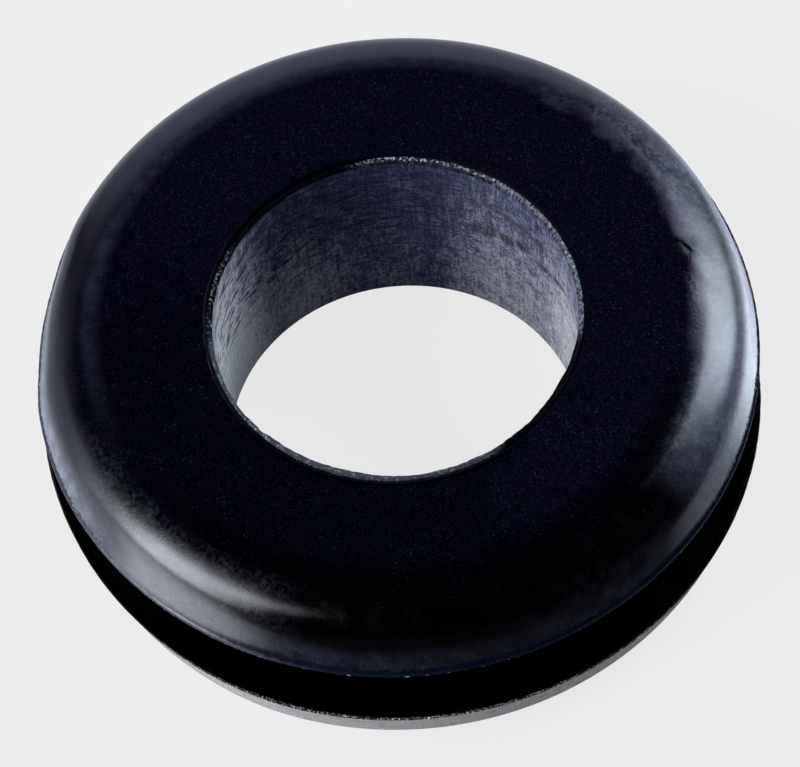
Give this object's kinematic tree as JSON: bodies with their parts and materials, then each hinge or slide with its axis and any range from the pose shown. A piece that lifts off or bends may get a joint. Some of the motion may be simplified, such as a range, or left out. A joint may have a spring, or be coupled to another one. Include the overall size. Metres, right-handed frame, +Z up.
{
  "type": "rubber grommet",
  "caption": "Round rubber grommet with a panel groove between two rounded flanges and a plain bore that a cable passes through.",
  "frame": {"origin": "on the axis of the bore, at the lower face that the grommet rests on", "axes": "+Z up along the axis of the bore, +X and +Y across it; the ring is the same all the way round"},
  "size_m": [0.0192, 0.0192, 0.0064],
  "materials": {
    "rubber": "satin moulded black rubber, trimmed edges, fine dust"
  },
  "bodies": {
    "root": {"grommet": "rubber"}
  },
  "joints": []
}
